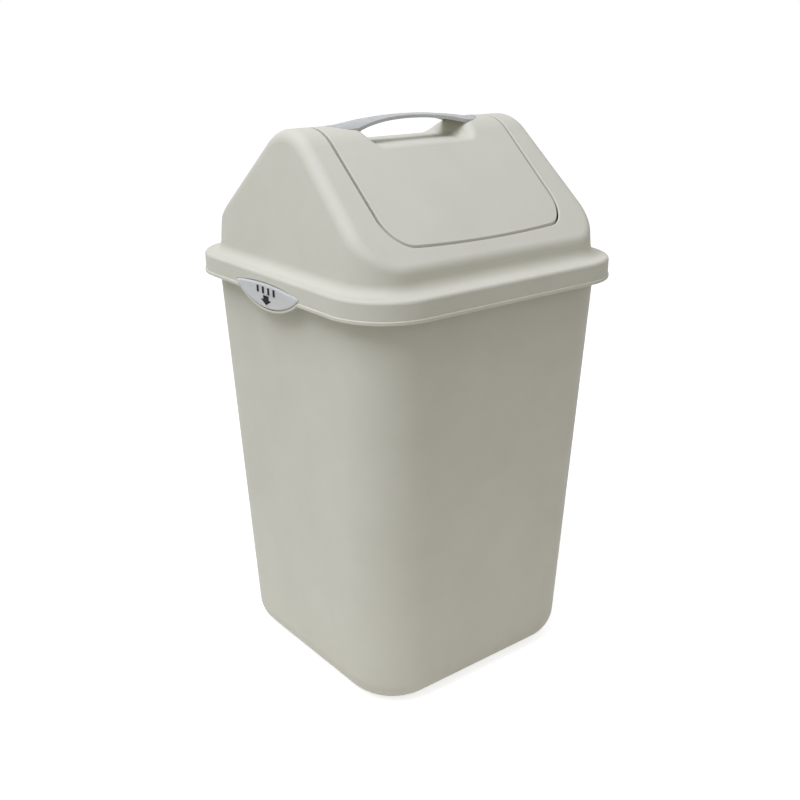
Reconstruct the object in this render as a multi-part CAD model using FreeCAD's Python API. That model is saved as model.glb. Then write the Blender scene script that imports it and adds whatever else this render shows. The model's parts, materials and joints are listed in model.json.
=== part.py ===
import FreeCAD, Part
import math
import os

# Swing-lid trash can, in millimetres.
# The origin is at the middle of the floor it stands on, X runs along the ridge and -Y is the front.

Vector = FreeCAD.Vector
X_AXIS = Vector(1, 0, 0)
Y_AXIS = Vector(0, 1, 0)
Z_AXIS = Vector(0, 0, 1)

# Faces that look up by at least this many degrees belong to the roof
ROOF_FACE_LIFT = 20.0

# Places nearer than this count as the same
TOUCH = 0.01

# Bucket
bucket_height = 328.0
bucket_bottom_half = 102.5
bucket_top_half = 114.2
bucket_bottom_corner = 43.5
bucket_top_corner = 36.0
bucket_wall = 2.0
bucket_foot_round = 23.0
bucket_floor = 2.4
foot_ring_width = 9.0
foot_recess_depth = 1.8
lip_reach = 3.6
lip_wall = 1.8
lip_drop = 13.8
rim_thickness = 2.0
rim_round = 0.8
gusset_width = 1.6
gusset_spacing = 44.0
gussets_per_side = 3

# Hood: band over the rim, flange, walls and roof
skirt_wall = 2.2
latch_room = 4.4
band_drop = 14.0
flange_thickness = 2.0
band_corner = 46.0
band_top_round = 2.6
bead_height = 2.6
bead_reach = 0.7
bead_round = 0.6
hood_side_setback = 10.9
hood_end_setback = 15.5
hood_corner = 33.0
hood_wall = 2.2
hood_draft = 5.0
hood_edge_round = 9.0
cove_round = 8.0
ridge_rise = 98.0
ridge_radius = 38.0
roof_slope = 41.5
spigot_depth = 8.0
spigot_wall = 1.8
spigot_clearance = 0.4

# Flap and the opening it closes
side_strip = 32.6
front_strip = 13.0
flap_bow = 3.0
flap_corner = 19.0
flap_side_gap = 2.2
flap_end_gap = 0.8
flap_wall = 2.2
flap_edge_round = 0.5
opening_edge_round = 0.8
opening_rim_depth = 7.0
opening_rim_wall = 1.8
opening_rim_setback = 5.0
flap_rim_depth = 7.0
flap_rim_wall = 1.8

# Flap pivot
pivot_drop = 23.0
pivot_lug_radius = 8.0
pivot_lug_thickness = 4.0
pivot_ear_thickness = 3.0
pivot_pin_radius = 3.0
pivot_head_radius = 4.6
pivot_head_thickness = 1.6
running_clearance = 0.05
pressed_clearance = 0.02
head_clearance = 0.3

# Trough under the handle
trough_depth = 13.5
trough_under_foot = 1.5
trough_end_run = 7.5
trough_round = 6.0
trough_edge_round = 7.0

# Carry handle
handle_end_margin = 10.9
handle_middle_width = 13.0
handle_foot_width = 28.0
handle_foot_length = 20.0
handle_flush_length = 8.2
handle_foot_bulge = 4.0
handle_plan_round = 4.0
handle_rise = 5.2
handle_thickness = 2.6
handle_foot_proud = 0.3
handle_seat_depth = 1.4
handle_seat_clearance = 0.25
handle_seat_pad = 1.2
peg_inset = 10.0
peg_radius = 2.5
peg_length = 5.0
peg_clearance = 0.1

# Side latches
latch_half_length = 43.5
latch_below_axis = 14.6
latch_above_axis = 3.1
latch_tip_round = 1.6
latch_plate = 2.2
latch_proud = 0.9
latch_edge_round = 1.2
latch_gap = 0.8
latch_surround = 1.5
latch_axis_drop = 10.5
latch_barrel_clearance = 0.4
latch_barrel_half = 28.0
latch_lug_length = 6.0
latch_lug_clearance = 0.6
latch_pin_radius = 1.0
latch_hook_drop = 6.6
latch_hook_thickness = 1.8
latch_hook_half_length = 20.0

# Places that follow from the sizes above
flange_top = bucket_height + flange_thickness
lip_half = bucket_top_half + lip_reach
lip_corner = bucket_top_corner + lip_reach
band_half = lip_half + latch_room + skirt_wall
band_bottom = bucket_height - band_drop
hood_half_x = band_half - hood_side_setback
hood_half_y = band_half - hood_end_setback
ridge_height = flange_top + ridge_rise
slope = math.radians(roof_slope)
roof_top = ridge_height + ridge_radius * (1 / math.cos(slope) - 1) + handle_rise
flap_half_x = hood_half_x - side_strip
flap_half_y = hood_half_y - front_strip
opening_half_x = flap_half_x + flap_side_gap
pivot_height = ridge_height - pivot_drop
trough_floor_height = ridge_height - trough_depth
handle_seat_height = ridge_height - handle_seat_depth
handle_half_length = flap_half_x - handle_end_margin
handle_foot_start = handle_half_length - handle_foot_length
handle_arch_reach = handle_half_length - handle_flush_length
handle_arch_radius = (handle_arch_reach ** 2 + handle_rise ** 2) / (2 * handle_rise)
peg_reach = handle_half_length - peg_inset
trough_top_half = handle_foot_start + trough_under_foot
trough_floor_half = trough_top_half - trough_end_run
latch_axis_height = flange_top - latch_axis_drop
latch_inner_face = band_half + latch_proud - latch_plate
latch_barrel_radius = (latch_inner_face - lip_half - latch_barrel_clearance) / 2
latch_axis_reach = latch_inner_face - latch_barrel_radius
latch_pin_half = latch_barrel_half + latch_lug_clearance + latch_lug_length


def bucket_half(height):
    """Outer half width of the tapered bucket at a height."""
    share = height / bucket_height
    return bucket_bottom_half + (bucket_top_half - bucket_bottom_half) * share


def bucket_corner(height):
    """Outer corner radius of the tapered bucket at a height."""
    share = height / bucket_height
    return bucket_bottom_corner + (bucket_top_corner - bucket_bottom_corner) * share


def rounded_rectangle(half_x, half_y, corner, height):
    """Closed wire of a rectangle with round corners, level at a height."""
    edges = []
    for quarter in range(4):
        turn = FreeCAD.Rotation(Z_AXIS, 90 * quarter)
        reach, side = (half_x, half_y) if quarter % 2 == 0 else (half_y, half_x)
        straight = side - corner
        inner = reach - corner
        bulge = corner * math.sqrt(0.5)
        side_start = turn.multVec(Vector(reach, -straight, height))
        side_end = turn.multVec(Vector(reach, straight, height))
        corner_middle = turn.multVec(Vector(inner + bulge, straight + bulge, height))
        corner_end = turn.multVec(Vector(inner, side, height))
        edges.append(Part.LineSegment(side_start, side_end).toShape())
        edges.append(Part.Arc(side_end, corner_middle, corner_end).toShape())
    return Part.Wire(edges)


def rounded_square(half, corner, height):
    """Closed wire of a square with round corners, level at a height."""
    return rounded_rectangle(half, half, corner, height)


def upright_block(half, corner, low, high):
    """Block with a rounded-square plan between two heights."""
    face = Part.Face(rounded_square(half, corner, low))
    return face.extrude(Vector(0, 0, high - low))


def square_ring(half, corner, wall, low, high):
    """Rounded-square ring of a given wall between two heights."""
    outside = upright_block(half, corner, low, high)
    return outside.cut(upright_block(half - wall, corner - wall, low, high))


def level_edges(solid, height):
    """Edges that lie flat at a height."""
    found = []
    for edge in solid.Edges:
        box = edge.BoundBox
        if abs(box.ZMin - height) < TOUCH and abs(box.ZMax - height) < TOUCH:
            found.append(edge)
    return found


def upright_edges(prism):
    """Upright edges of a prism with a level top and bottom."""
    return [edge for edge in prism.Edges if edge.BoundBox.ZLength > prism.BoundBox.ZLength / 2]


def points_along(edge):
    """Both ends and the middle of an edge."""
    first, last = edge.FirstParameter, edge.LastParameter
    return [edge.valueAt(first), edge.valueAt((first + last) / 2), edge.valueAt(last)]


def prism_along_y(points, reach):
    """Prism over a closed XZ outline, from -reach to +reach along Y."""
    outline = [Vector(x, -reach, z) for x, z in points]
    outline.append(outline[0])
    return Part.Face(Part.makePolygon(outline)).extrude(Vector(0, 2 * reach, 0))


def box_between(low, high):
    """Box between two opposite corners."""
    size = Vector(*high) - Vector(*low)
    return Part.makeBox(size.x, size.y, size.z, Vector(*low))


def mirrored(shape):
    """The same shape on the other side of the middle, across X."""
    return shape.mirror(Vector(0, 0, 0), X_AXIS)


# Bucket


def bucket_form(inset, low, high, foot_round):
    """Tapered bucket body, drawn in by inset, with its lower edge rounded."""
    lower = rounded_square(bucket_half(low) - inset, bucket_corner(low) - inset, low)
    upper = rounded_square(bucket_half(high) - inset, bucket_corner(high) - inset, high)
    form = Part.makeLoft([lower, upper], True, True)
    return form.makeFillet(foot_round, level_edges(form, low))


def bucket_rim():
    """Rim flange, down-turned lip and the gussets behind the lip."""
    rim_low = bucket_height - rim_thickness
    lip_low = bucket_height - lip_drop
    rim = upright_block(lip_half, lip_corner, rim_low, bucket_height)
    rim = rim.makeFillet(rim_round, level_edges(rim, bucket_height))
    rim = rim.fuse(square_ring(lip_half, lip_corner, lip_wall, lip_low, rim_low))
    gusset_inner = bucket_half(lip_low) - bucket_wall / 2
    gusset_outer = lip_half - lip_wall / 2
    gusset_low = lip_low + rim_thickness
    for quarter in range(4):
        for index in range(gussets_per_side):
            middle = (index - (gussets_per_side - 1) / 2) * gusset_spacing
            near = (gusset_inner, middle - gusset_width / 2, gusset_low)
            far = (gusset_outer, middle + gusset_width / 2, rim_low)
            gusset = box_between(near, far)
            gusset.rotate(Vector(0, 0, 0), Z_AXIS, 90 * quarter)
            rim = rim.fuse(gusset)
    return rim


def make_bucket():
    """Open pail with a rim and a recessed foot."""
    floor_top = foot_recess_depth + bucket_floor
    outside = bucket_form(0, 0, bucket_height, bucket_foot_round)
    inside = bucket_form(bucket_wall, floor_top, bucket_height + rim_thickness, bucket_foot_round)
    recess_half = bucket_bottom_half - bucket_foot_round - foot_ring_width
    recess_corner = bucket_bottom_corner - foot_ring_width
    recess = upright_block(recess_half, recess_corner, 0, foot_recess_depth)
    return outside.fuse(bucket_rim()).cut(inside).cut(recess).removeSplitter()


# Roof form that the hood and the flap share


def roof_prism(inset):
    """Solid under the two slopes and the round ridge, drawn in by inset."""
    reach = band_half
    low = band_bottom - spigot_depth
    round_radius = ridge_radius - inset
    ridge_axis_height = ridge_height - ridge_radius
    tangent_y = round_radius * math.sin(slope)
    tangent_z = ridge_axis_height + round_radius * math.cos(slope)
    eaves_z = tangent_z - (reach - tangent_y) * math.tan(slope)
    outline = [
        Vector(-reach, tangent_y, tangent_z),
        Vector(-reach, reach, eaves_z),
        Vector(-reach, reach, low),
        Vector(-reach, -reach, low),
        Vector(-reach, -reach, eaves_z),
        Vector(-reach, -tangent_y, tangent_z),
    ]
    top = Vector(-reach, 0, ridge_axis_height + round_radius)
    edges = Part.makePolygon(outline).Edges
    edges.append(Part.Arc(outline[-1], top, outline[0]).toShape())
    return Part.Face(Part.Wire(edges)).extrude(Vector(2 * reach, 0, 0))


def roof_height(y):
    """Height of the roof's outside at a distance from the ridge line."""
    tangent_y = ridge_radius * math.sin(slope)
    ridge_axis_height = ridge_height - ridge_radius
    if abs(y) < tangent_y:
        return ridge_axis_height + math.sqrt(ridge_radius ** 2 - y ** 2)
    return ridge_axis_height + ridge_radius * math.cos(slope) - (abs(y) - tangent_y) * math.tan(slope)


def edges_on_roof(solid, half_x, half_y):
    """Edges on the roof's outside that stay within two half widths."""
    found = []
    for edge in solid.Edges:
        points = points_along(edge)
        on_roof = all(abs(point.z - roof_height(point.y)) < TOUCH for point in points)
        within = all(abs(point.x) < half_x and abs(point.y) < half_y for point in points)
        if on_roof and within:
            found.append(edge)
    return found


def is_roof_face(face, point):
    """True where a face looks up rather than sideways."""
    u, v = face.Surface.parameter(point)
    return face.normalAt(u, v).z > math.sin(math.radians(ROOF_FACE_LIFT))


def roof_edges(solid):
    """Edges where the walls meet the roof."""
    found = []
    for edge in solid.Edges:
        faces = solid.ancestorsOfType(edge, Part.Face)
        point = edge.valueAt((edge.FirstParameter + edge.LastParameter) / 2)
        looks = [is_roof_face(face, point) for face in faces]
        if len(looks) == 2 and looks[0] != looks[1] and edge.BoundBox.ZMin > flange_top:
            found.append(edge)
    return found


def hood_form(inset, low):
    """Drafted walls under the roof, drawn in by inset, with the meeting edge rounded."""
    sections = []
    for height in (low, roof_top):
        drawn_in = inset + (height - flange_top) * math.tan(math.radians(hood_draft))
        half_x = hood_half_x - drawn_in
        half_y = hood_half_y - drawn_in
        sections.append(rounded_rectangle(half_x, half_y, hood_corner - drawn_in, height))
    form = Part.makeLoft(sections, True, True).common(roof_prism(inset))
    return form.makeFillet(hood_edge_round - inset, roof_edges(form))


def opening_prism(side_grow, end_grow):
    """Upright prism over the flap's outline, grown at its sides and ends, with bowed ends."""
    half_x = flap_half_x + side_grow
    half_y = flap_half_y + end_grow
    side_y = half_y - flap_bow
    low = bucket_height
    corners = [
        Vector(half_x, -side_y, low),
        Vector(half_x, side_y, low),
        Vector(-half_x, side_y, low),
        Vector(-half_x, -side_y, low),
    ]
    edges = [
        Part.LineSegment(corners[0], corners[1]).toShape(),
        Part.Arc(corners[1], Vector(0, half_y, low), corners[2]).toShape(),
        Part.LineSegment(corners[2], corners[3]).toShape(),
        Part.Arc(corners[3], Vector(0, -half_y, low), corners[0]).toShape(),
    ]
    prism = Part.Face(Part.Wire(edges)).extrude(Vector(0, 0, roof_top - low))
    return prism.makeFillet(flap_corner + side_grow, upright_edges(prism))


def side_plates(inner, thickness):
    """Two upright plates across X that start at inner, as high as the roof and as long as the flap."""
    plate = box_between((inner, -flap_half_y, bucket_height), (inner + thickness, flap_half_y, roof_top))
    return plate.fuse(mirrored(plate))


def pivot_hanger(inner, thickness):
    """Plate that hangs from the ridge, rounded about the pivot, and starts at inner along X."""
    plate = Part.makeCylinder(pivot_lug_radius, thickness, Vector(inner, 0, pivot_height), X_AXIS)
    near = (inner, -pivot_lug_radius, pivot_height)
    far = (inner + thickness, pivot_lug_radius, ridge_height)
    plate = plate.fuse(box_between(near, far))
    return plate.common(roof_prism(hood_wall / 2))


def pivot_bore(clearance):
    """Bore for both flap pins, through the ears and the lugs along X."""
    reach = opening_half_x + pivot_lug_thickness
    return Part.makeCylinder(
        pivot_pin_radius + clearance, 2 * reach, Vector(-reach, 0, pivot_height), X_AXIS
    )


# Hood


def band_form(half, corner, low, high):
    """Upright body of the band, with its top edge rounded."""
    form = upright_block(half, corner, low, high)
    return form.makeFillet(band_top_round, level_edges(form, high))


def band_bead():
    """Small rounded bead round the band's lower edge."""
    high = band_bottom + bead_height
    bead = upright_block(band_half + bead_reach, band_corner + bead_reach, band_bottom, high)
    return bead.makeFillet(bead_round, level_edges(bead, high) + level_edges(bead, band_bottom))


def cove_edges(solid):
    """Inner corner where the hood's walls rise from the flange."""
    return [edge for edge in level_edges(solid, flange_top) if is_inside_band(edge)]


def is_inside_band(edge):
    """True where an edge belongs to the walls and not to the band's rounded top."""
    box = edge.BoundBox
    reach = max(abs(box.XMin), abs(box.XMax), abs(box.YMin), abs(box.YMax))
    return reach < (max(hood_half_x, hood_half_y) + band_half) / 2


def hood_shell():
    """Band, flange, walls and roof as one moulding, still without the opening."""
    outside = band_form(band_half, band_corner, band_bottom, flange_top)
    outside = outside.fuse(hood_form(0, bucket_height))
    outside = outside.makeFillet(cove_round, cove_edges(outside))
    outside = outside.fuse(band_bead())
    skirt_inside = upright_block(
        band_half - skirt_wall, band_corner - skirt_wall, band_bottom, bucket_height
    )
    return outside.cut(skirt_inside).cut(hood_form(hood_wall, band_bottom))


def spigot():
    """Ring that drops into the bucket's mouth and keeps the hood in place, with a ledge to the walls."""
    low = bucket_height - spigot_depth
    inset = bucket_wall + spigot_clearance
    half = bucket_half(low) - inset
    corner = bucket_corner(low) - inset
    ring = square_ring(half, corner, spigot_wall, low, flange_top)
    ledge_corner = corner + hood_half_x - half
    ledge_width = hood_half_x - half + spigot_wall
    ledge = square_ring(hood_half_x, ledge_corner, ledge_width, bucket_height, flange_top)
    return ring.fuse(ledge)


def opening_rims():
    """Stiffening rims under the roof on both sides, set back from the opening."""
    band = hood_form(hood_wall / 2, flange_top).cut(roof_prism(opening_rim_depth))
    return band.common(side_plates(opening_half_x + opening_rim_setback, opening_rim_wall))


def latch_outline(grow):
    """Closed wire of the latch's lens outline, grown by grow, in the plane x = 0."""
    half = latch_half_length + grow
    left_tip = Vector(0, -half, latch_axis_height)
    right_tip = Vector(0, half, latch_axis_height)
    top = Vector(0, 0, latch_axis_height + latch_above_axis + grow)
    bottom = Vector(0, 0, latch_axis_height - latch_below_axis - grow)
    upper = Part.Arc(left_tip, top, right_tip).toShape()
    lower = Part.Arc(right_tip, bottom, left_tip).toShape()
    return Part.Wire([upper, lower])


def latch_plate_form(grow, inner, outer):
    """Lens-shaped plate between two distances from the middle, with blunt tips."""
    plate = Part.Face(latch_outline(grow)).extrude(Vector(outer - inner, 0, 0))
    tips = [edge for edge in plate.Edges if edge.BoundBox.XLength > latch_plate / 2]
    plate = plate.makeFillet(latch_tip_round, tips)
    plate.translate(Vector(inner, 0, 0))
    return plate


def latch_lugs():
    """Two lugs that hang from the flange behind the band and hold a latch pin."""
    inner = latch_axis_reach - latch_barrel_radius
    outer = band_half - skirt_wall / 2
    low = latch_axis_height - latch_barrel_radius
    lugs = []
    for side in (-1, 1):
        middle = side * (latch_pin_half - latch_lug_length / 2)
        near = (inner, middle - latch_lug_length / 2, low)
        far = (outer, middle + latch_lug_length / 2, bucket_height + flange_thickness / 2)
        lugs.append(box_between(near, far))
    return lugs[0].fuse(lugs[1])


def latch_tab():
    """Tab of the band that frames a latch below the band's lower edge."""
    return latch_plate_form(latch_gap + latch_surround, band_half - skirt_wall, band_half)


def latch_room_form(inner):
    """Lens-shaped space that a latch plate turns in, from a distance inside the band to outside it."""
    return latch_plate_form(latch_gap, inner, band_half + 2 * latch_plate)


def latch_pin_bore(clearance):
    """Bore of a latch pin through both lugs or through the barrel."""
    start = Vector(latch_axis_reach, -latch_pin_half, latch_axis_height)
    return Part.makeCylinder(latch_pin_radius + clearance, 2 * latch_pin_half, start, Y_AXIS)


def opening_edges(hood):
    """Outer edges round the opening."""
    return edges_on_roof(hood, opening_half_x + TOUCH, flap_half_y + flap_end_gap + TOUCH)


def make_lid_hood():
    """Hood with its opening, spigot, pin lugs and the two places for the latches."""
    hood = hood_shell().cut(opening_prism(flap_side_gap, flap_end_gap))
    hood = hood.fuse(spigot()).fuse(opening_rims()).removeSplitter()
    hood = hood.makeFillet(opening_edge_round, opening_edges(hood))
    hood = hood.fuse(latch_tab()).fuse(mirrored(latch_tab()))
    hanger = pivot_hanger(opening_half_x, pivot_lug_thickness)
    hood = hood.fuse(hanger).fuse(mirrored(hanger))
    hood = hood.cut(pivot_bore(pressed_clearance))
    window = latch_room_form(lip_half)
    hood = hood.cut(window).cut(mirrored(window))
    lugs = latch_lugs().cut(latch_pin_bore(pressed_clearance))
    lugs = lugs.cut(latch_room_form(latch_inner_face - latch_lug_clearance))
    return hood.fuse(lugs).fuse(mirrored(lugs)).removeSplitter()


# Flap


def trough_form(grow):
    """Through trough across the ridge, grown by grow, with its floor corners rounded."""
    wall_angle = math.atan2(trough_depth, trough_top_half - trough_floor_half)
    floor_z = trough_floor_height - grow
    floor_x = trough_floor_half + grow * math.tan(wall_angle / 2)
    top_x = floor_x + (roof_top - floor_z) / math.tan(wall_angle)
    points = [(-top_x, roof_top), (-floor_x, floor_z), (floor_x, floor_z), (top_x, roof_top)]
    form = prism_along_y(points, flap_half_y)
    return form.makeFillet(trough_round + grow, floor_corner_edges(form, floor_x, floor_z))


def floor_corner_edges(form, floor_x, floor_z):
    """Two edges along Y where the trough's floor meets its sloping ends."""
    return [
        edge for edge in level_edges(form, floor_z)
        if edge.BoundBox.XLength < TOUCH and abs(abs(edge.BoundBox.XMin) - floor_x) < TOUCH
    ]


def flap_outside():
    """Outer form of the flap, with the trough, whose edge and the flap's own edge are rounded."""
    form = roof_prism(0).common(opening_prism(0, 0)).cut(trough_form(0)).removeSplitter()
    form = form.makeFillet(trough_edge_round, trough_edges(form))
    return form.makeFillet(flap_edge_round, flap_outline_edges(form))


def trough_edges(form):
    """Edges where the trough meets the slopes and the ridge."""
    return edges_on_roof(form, (trough_top_half + flap_half_x) / 2, flap_half_y / 2)


def flap_outline_edges(form):
    """Outer edges round the flap's outline."""
    whole = edges_on_roof(form, flap_half_x + TOUCH, flap_half_y + TOUCH)
    return [edge for edge in whole if is_on_outline(points_along(edge))]


def is_on_outline(points):
    """True where the middle of an edge is nearer to the flap's outline than to its trough."""
    middle = points[1]
    past_trough = abs(middle.x) > (trough_top_half + flap_half_x) / 2
    return past_trough or abs(middle.y) > flap_half_y / 2


def handle_seats():
    """Sunk seats for the handle's feet, over the whole plan of the handle."""
    plan = handle_plan(handle_seat_clearance, trough_floor_height, roof_top)
    return plan.cut(roof_prism(handle_seat_depth))


def handle_pads():
    """Thicker skin under the handle's feet."""
    skin = roof_prism(flap_wall / 2).cut(roof_prism(flap_wall + handle_seat_pad))
    plan = handle_plan(handle_seat_pad, pivot_height, roof_top)
    return skin.common(plan).cut(trough_form(flap_wall / 2))


def flap_rims():
    """Stiffening rims along the flap's two sides."""
    band = roof_prism(flap_wall / 2).cut(roof_prism(flap_rim_depth))
    plates = side_plates(flap_half_x - flap_rim_wall, flap_rim_wall)
    return band.common(plates).common(opening_prism(0, 0))


def make_swing_flap():
    """Roof panel with a trough, seats for the handle, side rims and pin ears."""
    inside = roof_prism(flap_wall).cut(trough_form(flap_wall))
    flap = flap_outside().cut(inside).fuse(flap_rims()).fuse(handle_pads())
    ear = pivot_hanger(flap_half_x - pivot_ear_thickness, pivot_ear_thickness)
    flap = flap.fuse(ear).fuse(mirrored(ear))
    flap = flap.cut(pivot_bore(running_clearance))
    flap = flap.cut(handle_seats())
    for side in (-1, 1):
        flap = flap.cut(handle_peg(side, peg_clearance))
    return flap.removeSplitter()


# Carry handle


def handle_plan(grow, low, high):
    """Upright body over the handle's plan, grown by grow: a slim middle and two pointed feet."""
    tip_x = handle_half_length + grow
    foot_x = handle_foot_start
    foot_y = handle_foot_width / 2 + grow
    middle_y = handle_middle_width / 2 + grow
    side_length = math.hypot(tip_x - foot_x, foot_y)
    bulge_x = (tip_x + foot_x) / 2 + handle_foot_bulge * foot_y / side_length
    bulge_y = foot_y / 2 + handle_foot_bulge * (tip_x - foot_x) / side_length
    right = [(foot_x, -foot_y), (bulge_x, -bulge_y), (tip_x, 0), (bulge_x, bulge_y), (foot_x, foot_y)]
    left = [(-x, -y) for x, y in right]
    outline = right + [(0, middle_y)] + left + [(0, -middle_y)]
    path = [Vector(x, y, low) for x, y in outline]
    edges = []
    for start in range(0, len(path), 2):
        end = path[(start + 2) % len(path)]
        edges.append(Part.Arc(path[start], path[start + 1], end).toShape())
    body = Part.Face(Part.Wire(edges)).extrude(Vector(0, 0, high - low))
    return body.makeFillet(handle_plan_round, upright_edges(body))


def handle_arch():
    """Arched strap, curved across like the ridge, before it is trimmed to its plan."""
    crown = ridge_height + handle_rise
    axis_height = crown - ridge_radius
    spread = math.asin(handle_foot_width / ridge_radius)
    ends = []
    for radius in (ridge_radius, ridge_radius - handle_thickness):
        across = radius * math.sin(spread)
        height = axis_height + radius * math.cos(spread)
        ends.append([Vector(0, -across, height), Vector(0, across, height)])
    outer_top = Vector(0, 0, crown)
    inner_top = Vector(0, 0, crown - handle_thickness)
    edges = [
        Part.Arc(ends[0][0], outer_top, ends[0][1]).toShape(),
        Part.LineSegment(ends[0][1], ends[1][1]).toShape(),
        Part.Arc(ends[1][1], inner_top, ends[1][0]).toShape(),
        Part.LineSegment(ends[1][0], ends[0][0]).toShape(),
    ]
    profile = Part.Face(Part.Wire(edges))
    centre = Vector(0, 0, crown - handle_arch_radius)
    half_turn = math.degrees(math.asin(handle_half_length / handle_arch_radius))
    profile.rotate(centre, Y_AXIS, -half_turn)
    return profile.revolve(centre, Y_AXIS, 2 * half_turn)


def handle_peg(side, clearance):
    """Peg under one foot of the handle."""
    low = handle_seat_height - peg_length - clearance
    length = peg_length + clearance + handle_seat_depth / 2
    return Part.makeCylinder(peg_radius + clearance, length, Vector(side * peg_reach, 0, low))


def make_carry_handle():
    """Arched strap that runs out into two feet, which lie flush in the ridge, with a peg under each."""
    feet = roof_prism(-handle_foot_proud).cut(trough_form(0))
    strap = handle_arch().fuse(feet).cut(roof_prism(handle_seat_depth))
    strap = strap.common(handle_plan(0, trough_floor_height, roof_top + handle_rise))
    for side in (-1, 1):
        strap = strap.fuse(handle_peg(side, 0))
    return strap.removeSplitter()


# Pins


def make_flap_pin():
    """Headed pin of the right side, pressed into the hood's lug."""
    head_end = flap_half_x - pivot_ear_thickness - head_clearance
    tip = opening_half_x + pivot_lug_thickness
    shank_start = Vector(head_end, 0, pivot_height)
    shank = Part.makeCylinder(pivot_pin_radius, tip - head_end, shank_start, X_AXIS)
    head_start = Vector(head_end - pivot_head_thickness, 0, pivot_height)
    head = Part.makeCylinder(pivot_head_radius, pivot_head_thickness, head_start, X_AXIS)
    return shank.fuse(head).removeSplitter()


# Side latches


def make_latch():
    """Latch of the right side: lens plate, hinge barrel and hook."""
    outer = latch_inner_face + latch_plate
    plate = latch_plate_form(0, latch_inner_face, outer)
    face_edges = [edge for edge in plate.Edges if edge.BoundBox.XMin > outer - TOUCH]
    plate = plate.makeFillet(latch_edge_round, face_edges)
    barrel_start = Vector(latch_axis_reach, -latch_barrel_half, latch_axis_height)
    barrel = Part.makeCylinder(latch_barrel_radius, 2 * latch_barrel_half, barrel_start, Y_AXIS)
    web_low = (latch_axis_reach, -latch_barrel_half, latch_axis_height - latch_barrel_radius / 2)
    web_high = (
        outer - latch_plate / 2, latch_barrel_half, latch_axis_height + latch_barrel_radius / 2
    )
    hook_top = latch_axis_height - latch_hook_drop
    hook_low = (
        lip_half + latch_barrel_clearance, -latch_hook_half_length, hook_top - latch_hook_thickness
    )
    hook_high = (outer - latch_plate / 2, latch_hook_half_length, hook_top)
    latch = plate.fuse(barrel).fuse(box_between(web_low, web_high))
    latch = latch.fuse(box_between(hook_low, hook_high))
    return latch.cut(latch_pin_bore(running_clearance)).removeSplitter()


def main():
    """Build every piece and write it out."""
    pieces = {
        "bucket": make_bucket(),
        "lid_hood": make_lid_hood(),
        "swing_flap": make_swing_flap(),
        "carry_handle": make_carry_handle(),
        "right_flap_pin": make_flap_pin(),
        "right_latch": make_latch(),
        "right_latch_pin": latch_pin_bore(0),
    }
    for name in ("flap_pin", "latch", "latch_pin"):
        pieces["left_" + name] = mirrored(pieces["right_" + name])
    os.makedirs("parts", exist_ok=True)
    for name, shape in pieces.items():
        box = shape.BoundBox
        print(
            f"{name}: solids {len(shape.Solids)} valid {shape.isValid()} volume {shape.Volume:.0f} "
            f"x {box.XMin:.1f}..{box.XMax:.1f} y {box.YMin:.1f}..{box.YMax:.1f} "
            f"z {box.ZMin:.1f}..{box.ZMax:.1f}"
        )
        shape.exportStep(f"parts/{name}.step")


main()
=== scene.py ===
import json
import math

import bmesh
import bpy
from mathutils import Matrix, Vector


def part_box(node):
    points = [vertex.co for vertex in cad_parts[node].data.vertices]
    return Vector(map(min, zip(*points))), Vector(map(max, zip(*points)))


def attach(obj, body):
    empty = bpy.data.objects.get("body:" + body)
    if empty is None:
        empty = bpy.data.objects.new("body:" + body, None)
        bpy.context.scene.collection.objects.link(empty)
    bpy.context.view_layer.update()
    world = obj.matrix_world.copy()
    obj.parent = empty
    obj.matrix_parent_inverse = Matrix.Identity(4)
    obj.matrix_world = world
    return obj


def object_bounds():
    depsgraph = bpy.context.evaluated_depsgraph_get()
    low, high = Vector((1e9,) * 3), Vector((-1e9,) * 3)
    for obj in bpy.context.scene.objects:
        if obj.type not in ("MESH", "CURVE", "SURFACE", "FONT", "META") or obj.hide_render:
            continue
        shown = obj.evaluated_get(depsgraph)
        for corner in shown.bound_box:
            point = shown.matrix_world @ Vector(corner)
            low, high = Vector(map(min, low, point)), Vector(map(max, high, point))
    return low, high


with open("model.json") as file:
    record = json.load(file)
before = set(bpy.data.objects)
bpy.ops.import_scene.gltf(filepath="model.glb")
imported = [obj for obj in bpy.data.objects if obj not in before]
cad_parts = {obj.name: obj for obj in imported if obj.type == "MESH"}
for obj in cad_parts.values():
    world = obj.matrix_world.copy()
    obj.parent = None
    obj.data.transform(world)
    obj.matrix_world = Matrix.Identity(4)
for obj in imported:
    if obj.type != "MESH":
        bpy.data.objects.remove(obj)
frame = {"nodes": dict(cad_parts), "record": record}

cad_low, cad_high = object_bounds()

# Camera: where the photograph was taken from, in degrees and metres
CAMERA_AZIMUTH = -38.12
CAMERA_ELEVATION = 20.20
CAMERA_ROLL = -0.27
CAMERA_DISTANCE = 0.8497
CAMERA_LENS_MM = 46.48
CAMERA_SENSOR_MM = 36.0
AIM_HEIGHT = 0.1923
AIM_RIGHT = 0.0035
AIM_UP = -0.0131

# Light: a level of 1 makes a surface that faces it show its own colour
KEY_DIRECTION = Vector((-0.50, -0.04, 0.865))
KEY_DISTANCE = 2.0
KEY_SIZE = 1.6
KEY_LEVEL = 0.695
KEY_TINT = (0.95, 1.0, 1.16)
AMBIENT_LEVEL = (0.390, 0.383, 0.305, 1.0)
AMBIENT_OVERHEAD = (0.550, 0.555, 0.620, 1.0)
WHITE = (1.0, 1.0, 1.0, 1.0)
BLACK = (0.0, 0.0, 0.0, 1.0)

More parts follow.
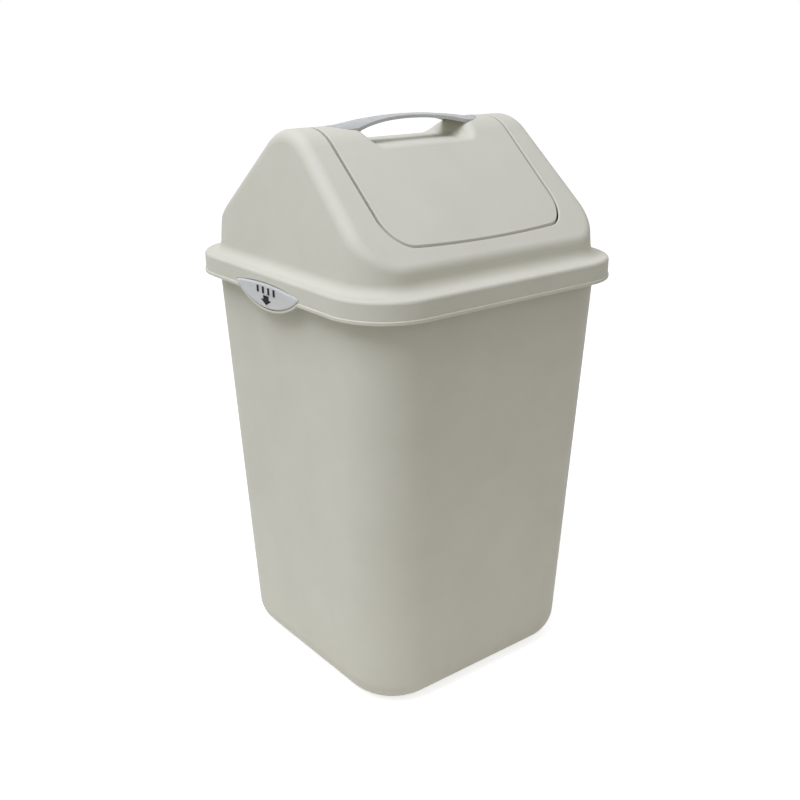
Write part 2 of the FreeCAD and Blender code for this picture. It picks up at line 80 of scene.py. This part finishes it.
# Floor
FLOOR_HALF = 30.0
# The bounce colours paint a pool of light on the floor, palest near the bin and darker far away
FLOOR_BOUNCE_NEAR = (0.76, 0.74, 0.69, 1.0)
FLOOR_BOUNCE_FAR = (0.30, 0.30, 0.29, 1.0)
FLOOR_NEAR_REACH = 0.30
FLOOR_FAR_REACH = 1.20
FLOOR_MATTE = (0.72, 0.72, 0.72, 1.0)
FLOOR_GLOW = 0.70

# Colours, linear
BODY_COLOUR = (0.624, 0.607, 0.506, 1.0)
BODY_DARK = (0.602, 0.584, 0.485, 1.0)
BODY_LIGHT = (0.644, 0.628, 0.528, 1.0)
# Body edge colour: rubbed wear and a painted highlight
BODY_WORN_HIGHLIT = (0.780, 0.765, 0.675, 1.0)
BODY_SCUFFED = (0.500, 0.487, 0.415, 1.0)
LATCH_COLOUR = (0.625, 0.630, 0.592, 1.0)
LATCH_DARK = (0.592, 0.597, 0.562, 1.0)
# Latch edge colour: rubbed wear and a painted highlight
LATCH_WORN_HIGHLIT = (0.680, 0.690, 0.655, 1.0)
HANDLE_COLOUR = (0.460, 0.464, 0.440, 1.0)
HANDLE_DARK = (0.430, 0.434, 0.412, 1.0)
# Handle edge colour: rubbed wear and a painted highlight
HANDLE_WORN_HIGHLIT = (0.500, 0.504, 0.480, 1.0)
PIN_COLOUR = (0.45, 0.45, 0.46, 1.0)
PIN_DARK = (0.37, 0.37, 0.38, 1.0)
INK_COLOUR = (0.004, 0.004, 0.004, 1.0)
INK_WORN = (0.012, 0.012, 0.012, 1.0)

# Mottling: places on a 0 to 1 noise where each colour is reached
BODY_MOTTLE_STOPS = (0.30, 0.52, 0.75)
GREY_MOTTLE_STOPS = (0.30, 0.60)
PIN_MOTTLE_STOPS = (0.30, 0.70)
INK_MOTTLE_STOPS = (0.40, 0.80)
SCUFF_STOPS = (0.52, 0.72)

# Texture, in features per metre
BODY_MOTTLE = 14.0
BODY_SHEEN = 60.0
BODY_GRAIN = 1500.0
GREY_MOTTLE = 40.0
GREY_SHEEN = 120.0
GREY_GRAIN = 2500.0
PIN_MOTTLE = 800.0
PIN_SHEEN = 3000.0
INK_MOTTLE = 900.0
INK_SHEEN = 1500.0
WORN_HIGHLIT_BREAKS = 90.0
SCUFF_SPOTS = 55.0

# Finer noise octaves, and how strong they are
PLAIN_DETAIL = 3.0
PLAIN_CRISPNESS = 0.5
MOTTLE_DETAIL = 4.0
MOTTLE_CRISPNESS = 0.6
SCUFF_DETAIL = 6.0
SCUFF_CRISPNESS = 0.65

# Roughness, from the smoothest to the roughest spot
BODY_ROUGH = (0.54, 0.72)
GREY_ROUGH = (0.38, 0.52)
PIN_ROUGH = (0.25, 0.45)
INK_ROUGH = (0.55, 0.75)
INK_GLOSS = 0.15

# Light that soaks into the thin grey pieces, as a share and in metres
GREY_SOAK = 1.0
GREY_SOAK_DEPTH = 0.006

# Height of the moulded grain in metres, and how much of it shows
BODY_GRAIN_HEIGHT = 0.00025
GREY_GRAIN_HEIGHT = 0.00012
GRAIN_STRENGTH = 0.35

# Edges lightened by rubbed wear and by a painted highlight, in metres and as shares
WORN_HIGHLIT_WIDTH = 0.0014
WORN_HIGHLIT_SHARE = 0.9
WORN_HIGHLIT_START = 0.995
WORN_HIGHLIT_FULL = 0.90
SCUFF_HEIGHT = 0.060
SCUFF_SHARE = 0.35

# Marks printed on the latches, in metres, measured up from a latch's lowest point
MARK_RELIEF = 0.00010
MARK_SINK = 0.00005
ARROW_TIP_HEIGHT = 0.0024
ARROW_HEAD_HEIGHT = 0.0038
ARROW_HEAD_WIDTH = 0.0140
ARROW_SHAFT_HEIGHT = 0.0030
ARROW_SHAFT_WIDTH = 0.0072
BAR_COUNT = 4
BAR_LOW_HEIGHT = 0.0104
BAR_HEIGHT = 0.0050
BAR_WIDTH = 0.0027
BAR_PITCH = 0.0072


# Places of the colour sockets on the mix node, which have the same names as its other sockets
MIX_SHARE = 0
MIX_FIRST = 6
MIX_SECOND = 7
MIX_RESULT = 2


# Node helpers


def new_material(name):
    """An empty node material with its Principled shader."""
    material = bpy.data.materials.new(name)
    material.use_nodes = True
    shader = material.node_tree.nodes["Principled BSDF"]
    return material, material.node_tree, shader


def add_node(tree, kind, **values):
    """A node with some of its inputs set by name."""
    node = tree.nodes.new(kind)
    for key, value in values.items():
        node.inputs[key].default_value = value
    return node


def noise(tree, place, scale, detail=PLAIN_DETAIL, crispness=PLAIN_CRISPNESS):
    """Noise in object space, with features of about 1 / scale metres."""
    node = add_node(tree, "ShaderNodeTexNoise", Scale=scale, Detail=detail, Roughness=crispness)
    tree.links.new(place, node.inputs["Vector"])
    return node.outputs["Fac"]


def ramp(tree, value, stops):
    """Colour ramp through (position, colour) stops."""
    node = tree.nodes.new("ShaderNodeValToRGB")
    elements = node.color_ramp.elements
    elements[0].position, elements[0].color = stops[0]
    elements[1].position, elements[1].color = stops[-1]
    for position, colour in stops[1:-1]:
        elements.new(position).color = colour
    tree.links.new(value, node.inputs["Fac"])
    return node.outputs["Color"]


def span(tree, value, low, high):
    """A 0 to 1 value stretched to low to high."""
    node = add_node(tree, "ShaderNodeMapRange")
    node.inputs["To Min"].default_value = low
    node.inputs["To Max"].default_value = high
    tree.links.new(value, node.inputs["Value"])
    return node.outputs["Result"]


def grain_bump(tree, shader, place, scale, height):
    """Fine moulded grain as bump."""
    bump = add_node(tree, "ShaderNodeBump", Strength=GRAIN_STRENGTH, Distance=height)
    tree.links.new(noise(tree, place, scale), bump.inputs["Height"])
    tree.links.new(bump.outputs["Normal"], shader.inputs["Normal"])


def uneven_sheen(tree, shader, place, scale, rough):
    """Roughness that wanders between its two ends."""
    low, high = rough
    tree.links.new(span(tree, noise(tree, place, scale), low, high), shader.inputs["Roughness"])


def blend(tree, share, first, second):
    """First colour where the share is 0, second where it is 1."""
    node = tree.nodes.new("ShaderNodeMix")
    node.data_type = "RGBA"
    tree.links.new(share, node.inputs[MIX_SHARE])
    tree.links.new(first, node.inputs[MIX_FIRST])
    node.inputs[MIX_SECOND].default_value = second
    return node.outputs[MIX_RESULT]


def product(tree, first, second):
    """Two values multiplied."""
    node = tree.nodes.new("ShaderNodeMath")
    node.operation = "MULTIPLY"
    tree.links.new(first, node.inputs[0])
    tree.links.new(second, node.inputs[1])
    return node.outputs[0]


def worn_highlit_edges(tree, place):
    """Mask for rubbed wear and a painted highlight: high on narrow edges, broken up by noise, and 0 on open
    faces.
    """
    bevel = add_node(tree, "ShaderNodeBevel", Radius=WORN_HIGHLIT_WIDTH)
    geometry = tree.nodes.new("ShaderNodeNewGeometry")
    agree = tree.nodes.new("ShaderNodeVectorMath")
    agree.operation = "DOT_PRODUCT"
    tree.links.new(bevel.outputs["Normal"], agree.inputs[0])
    tree.links.new(geometry.outputs["Normal"], agree.inputs[1])
    edge = add_node(tree, "ShaderNodeMapRange")
    edge.inputs["From Min"].default_value = WORN_HIGHLIT_START
    edge.inputs["From Max"].default_value = WORN_HIGHLIT_FULL
    tree.links.new(agree.outputs["Value"], edge.inputs["Value"])
    broken = span(tree, noise(tree, place, WORN_HIGHLIT_BREAKS), 0.0, WORN_HIGHLIT_SHARE)
    return product(tree, edge.outputs["Result"], broken)


def foot_scuffs(tree, place):
    """Streaks that fade out with height above the floor."""
    parts = tree.nodes.new("ShaderNodeSeparateXYZ")
    tree.links.new(place, parts.inputs[0])
    low = add_node(tree, "ShaderNodeMapRange")
    low.inputs["From Min"].default_value = SCUFF_HEIGHT
    low.inputs["From Max"].default_value = 0.0
    tree.links.new(parts.outputs["Z"], low.inputs["Value"])
    spots = noise(tree, place, SCUFF_SPOTS, SCUFF_DETAIL, SCUFF_CRISPNESS)
    spots = ramp(tree, spots, list(zip(SCUFF_STOPS, (BLACK, WHITE))))
    return span(tree, product(tree, low.outputs["Result"], spots), 0.0, SCUFF_SHARE)


def object_place(tree):
    """Coordinates fixed to the piece, in metres."""
    return tree.nodes.new("ShaderNodeTexCoord").outputs["Object"]


# Materials


def body_plastic():
    """Warm grey-beige moulded plastic with a fine matte grain, faint mottling and scuffs."""
    material, tree, shader = new_material("body_plastic")
    place = object_place(tree)
    mottle = noise(tree, place, BODY_MOTTLE, MOTTLE_DETAIL, MOTTLE_CRISPNESS)
    colour = ramp(tree, mottle, list(zip(BODY_MOTTLE_STOPS, (BODY_DARK, BODY_COLOUR, BODY_LIGHT))))
    colour = blend(tree, foot_scuffs(tree, place), colour, BODY_SCUFFED)
    # Narrow edges lightened: rubbed wear and a painted highlight
    colour = blend(tree, worn_highlit_edges(tree, place), colour, BODY_WORN_HIGHLIT)
    tree.links.new(colour, shader.inputs["Base Color"])
    uneven_sheen(tree, shader, place, BODY_SHEEN, BODY_ROUGH)
    grain_bump(tree, shader, place, BODY_GRAIN, BODY_GRAIN_HEIGHT)
    return material


def grey_plastic(name, dark, plain, worn_highlit):
    """Grey plastic, smoother than the body, that lets a little light through."""
    material, tree, shader = new_material(name)
    place = object_place(tree)
    colour = ramp(tree, noise(tree, place, GREY_MOTTLE), list(zip(GREY_MOTTLE_STOPS, (dark, plain))))
    # Narrow edges lightened: rubbed wear and a painted highlight
    colour = blend(tree, worn_highlit_edges(tree, place), colour, worn_highlit)
    tree.links.new(colour, shader.inputs["Base Color"])
    shader.inputs["Subsurface Weight"].default_value = GREY_SOAK
    shader.inputs["Subsurface Radius"].default_value = (1.0, 1.0, 1.0)
    shader.inputs["Subsurface Scale"].default_value = GREY_SOAK_DEPTH
    uneven_sheen(tree, shader, place, GREY_SHEEN, GREY_ROUGH)
    grain_bump(tree, shader, place, GREY_GRAIN, GREY_GRAIN_HEIGHT)
    return material


def pin_steel():
    """Drawn steel wire, unevenly bright."""
    material, tree, shader = new_material("pin_steel")
    place = object_place(tree)
    shader.inputs["Metallic"].default_value = 1.0
    mottle = noise(tree, place, PIN_MOTTLE)
    colour = ramp(tree, mottle, list(zip(PIN_MOTTLE_STOPS, (PIN_DARK, PIN_COLOUR))))
    tree.links.new(colour, shader.inputs["Base Color"])
    uneven_sheen(tree, shader, place, PIN_SHEEN, PIN_ROUGH)
    return material


def print_ink():
    """Black printing ink, a little worn."""
    material, tree, shader = new_material("print_ink")
    place = object_place(tree)
    mottle = noise(tree, place, INK_MOTTLE)
    colour = ramp(tree, mottle, list(zip(INK_MOTTLE_STOPS, (INK_COLOUR, INK_WORN))))
    tree.links.new(colour, shader.inputs["Base Color"])
    shader.inputs["Specular IOR Level"].default_value = INK_GLOSS
    uneven_sheen(tree, shader, place, INK_SHEEN, INK_ROUGH)
    return material


def dress_nodes():
    """Gives each CAD node the finish of its material slot, with a darker grey on the handle."""
    made = {
        "body_plastic": body_plastic(),
        "grey_plastic": grey_plastic("grey_plastic", LATCH_DARK, LATCH_COLOUR, LATCH_WORN_HIGHLIT),
        "pin_steel": pin_steel(),
    }
    for subpart in frame["record"]["subparts"]:
        node = frame["nodes"][subpart["node"]]
        node.data.materials.clear()
        node.data.materials.append(made[subpart["material_slot"]])
    handle = frame["nodes"]["carry_handle"]
    handle.data.materials[0] = grey_plastic("handle_grey", HANDLE_DARK, HANDLE_COLOUR, HANDLE_WORN_HIGHLIT)


# Marks on the latches


def arrow_outline():
    """Corners of an arrow that points down, as places across and above its tip."""
    head = ARROW_HEAD_HEIGHT
    top = ARROW_HEAD_HEIGHT + ARROW_SHAFT_HEIGHT
    half_head = ARROW_HEAD_WIDTH / 2
    half_shaft = ARROW_SHAFT_WIDTH / 2
    return [
        (0, 0), (half_head, head), (half_shaft, head), (half_shaft, top),
        (-half_shaft, top), (-half_shaft, head), (-half_head, head),
    ]


def bar_outline(middle):
    """Corners of one upright bar, as places across and above its lower end."""
    half = BAR_WIDTH / 2
    return [(middle - half, 0), (middle + half, 0), (middle + half, BAR_HEIGHT), (middle - half, BAR_HEIGHT)]


def add_mark(name, outline, height, latch, side, ink):
    """A thin printed shape on the outer face of a latch, with its lowest place at a height."""
    low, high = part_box(latch)
    face = side * max(abs(low.x), abs(high.x))
    middle = (low.y + high.y) / 2
    inner = face - side * MARK_SINK
    grid = bmesh.new()
    corners = [grid.verts.new((inner, middle + y, low.z + height + z)) for y, z in outline]
    made = bmesh.ops.extrude_face_region(grid, geom=[grid.faces.new(corners)])
    moved = [item for item in made["geom"] if isinstance(item, bmesh.types.BMVert)]
    bmesh.ops.translate(grid, verts=moved, vec=(side * (MARK_SINK + MARK_RELIEF), 0, 0))
    bmesh.ops.recalc_face_normals(grid, faces=grid.faces)
    mesh = bpy.data.meshes.new(name)
    grid.to_mesh(mesh)
    grid.free()
    mesh.materials.append(ink)
    mark = bpy.data.objects.new(name, mesh)
    bpy.context.scene.collection.objects.link(mark)
    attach(mark, latch)


def mark_latches():
    """An arrow under a row of plain bars on each latch."""
    ink = print_ink()
    for latch, side in (("left_latch", -1), ("right_latch", 1)):
        add_mark(f"{latch}_arrow", arrow_outline(), ARROW_TIP_HEIGHT, latch, side, ink)
        for index in range(BAR_COUNT):
            middle = (index - (BAR_COUNT - 1) / 2) * BAR_PITCH
            add_mark(f"{latch}_bar_{index}", bar_outline(middle), BAR_LOW_HEIGHT, latch, side, ink)


# Stage


def seen_directly(tree):
    """1 for what the camera, a mirror or a glass shows, 0 for light that bounces."""
    path = tree.nodes.new("ShaderNodeLightPath")
    total = path.outputs["Is Camera Ray"]
    for name in ("Is Glossy Ray", "Is Transmission Ray"):
        larger = tree.nodes.new("ShaderNodeMath")
        larger.operation = "MAXIMUM"
        tree.links.new(total, larger.inputs[0])
        tree.links.new(path.outputs[name], larger.inputs[1])
        total = larger.outputs[0]
    return total


def far_share(tree):
    """0 on the floor by the bin, 1 far from it."""
    distance = tree.nodes.new("ShaderNodeVectorMath")
    distance.operation = "LENGTH"
    tree.links.new(object_place(tree), distance.inputs[0])
    share = add_node(tree, "ShaderNodeMapRange")
    share.inputs["From Min"].default_value = FLOOR_NEAR_REACH
    share.inputs["From Max"].default_value = FLOOR_FAR_REACH
    tree.links.new(distance.outputs["Value"], share.inputs["Value"])
    return share.outputs["Result"]


def floor_bounce(tree):
    """Colour that the floor shows to bounced light, palest near the bin as a painted pool of light."""
    bounce = tree.nodes.new("ShaderNodeBsdfDiffuse")
    colour = ramp(tree, far_share(tree), [(0.0, FLOOR_BOUNCE_NEAR), (1.0, FLOOR_BOUNCE_FAR)])
    tree.links.new(colour, bounce.inputs["Color"])
    return bounce


def floor_shown(tree):
    """Finish that the floor shows to the eye: close to white, with a soft shadow."""
    matte = add_node(tree, "ShaderNodeBsdfDiffuse", Color=FLOOR_MATTE)
    glow = add_node(tree, "ShaderNodeEmission", Strength=FLOOR_GLOW)
    both = tree.nodes.new("ShaderNodeAddShader")
    tree.links.new(matte.outputs[0], both.inputs[0])
    tree.links.new(glow.outputs[0], both.inputs[1])
    return both


def floor_finish():
    """Pale floor that looks white to the camera and keeps a soft shadow."""
    material = bpy.data.materials.new("floor")
    material.use_nodes = True
    tree = material.node_tree
    tree.nodes.clear()
    mix = tree.nodes.new("ShaderNodeMixShader")
    tree.links.new(seen_directly(tree), mix.inputs["Fac"])
    tree.links.new(floor_bounce(tree).outputs[0], mix.inputs[1])
    tree.links.new(floor_shown(tree).outputs[0], mix.inputs[2])
    output = tree.nodes.new("ShaderNodeOutputMaterial")
    tree.links.new(mix.outputs[0], output.inputs["Surface"])
    return material


def add_floor():
    """One large level square under the bin."""
    mesh = bpy.data.meshes.new("floor")
    grid = bmesh.new()
    bmesh.ops.create_grid(grid, x_segments=1, y_segments=1, size=FLOOR_HALF)
    grid.to_mesh(mesh)
    grid.free()
    mesh.materials.append(floor_finish())
    floor = bpy.data.objects.new("floor", mesh)
    bpy.context.scene.collection.objects.link(floor)


def set_world():
    """White to the eye, and a plain ambient light on the object that is strongest from overhead."""
    world = bpy.data.worlds.new("studio")
    bpy.context.scene.world = world
    world.use_nodes = True
    tree = world.node_tree
    background = tree.nodes["Background"]
    parts = tree.nodes.new("ShaderNodeSeparateXYZ")
    tree.links.new(tree.nodes.new("ShaderNodeTexCoord").outputs["Generated"], parts.inputs[0])
    ambient = ramp(tree, parts.outputs["Z"], [(0.0, AMBIENT_LEVEL), (1.0, AMBIENT_OVERHEAD)])
    tree.links.new(blend(tree, seen_directly(tree), ambient, WHITE), background.inputs["Color"])


def add_key_light():
    """Large soft lamp above and to the left."""
    light = bpy.data.lights.new("key", "AREA")
    light.shape = "DISK"
    light.size = KEY_SIZE
    # A disk lamp of this power lights a facing surface at its distance to the level
    light.energy = KEY_LEVEL * (math.pi * KEY_DISTANCE) ** 2
    light.color = KEY_TINT
    lamp = bpy.data.objects.new("key", light)
    bpy.context.scene.collection.objects.link(lamp)
    direction = KEY_DIRECTION.normalized()
    centre = (cad_low + cad_high) / 2
    lamp.location = centre + direction * KEY_DISTANCE
    lamp.rotation_euler = direction.to_track_quat("Z", "Y").to_euler()


def add_camera():
    """Camera at the photograph's place and angle."""
    azimuth = math.radians(CAMERA_AZIMUTH)
    elevation = math.radians(CAMERA_ELEVATION)
    roll = math.radians(CAMERA_ROLL)
    back = Vector((
        math.sin(azimuth) * math.cos(elevation),
        -math.cos(azimuth) * math.cos(elevation),
        math.sin(elevation),
    ))
    level_right = (-back).cross(Vector((0, 0, 1))).normalized()
    level_up = level_right.cross(-back)
    right = level_right * math.cos(roll) + level_up * math.sin(roll)
    up = level_up * math.cos(roll) - level_right * math.sin(roll)
    place = Vector((0, 0, AIM_HEIGHT)) + back * CAMERA_DISTANCE - right * AIM_RIGHT - up * AIM_UP
    data = bpy.data.cameras.new("camera")
    data.lens = CAMERA_LENS_MM
    data.sensor_width = CAMERA_SENSOR_MM
    camera = bpy.data.objects.new("camera", data)
    bpy.context.scene.collection.objects.link(camera)
    turn = Matrix((right, up, back)).transposed()
    camera.matrix_world = Matrix.Translation(place) @ turn.to_4x4()
    bpy.context.scene.camera = camera


dress_nodes()
mark_latches()
add_floor()
set_world()
add_key_light()
add_camera()
bpy.context.scene.view_settings.view_transform = "Standard"
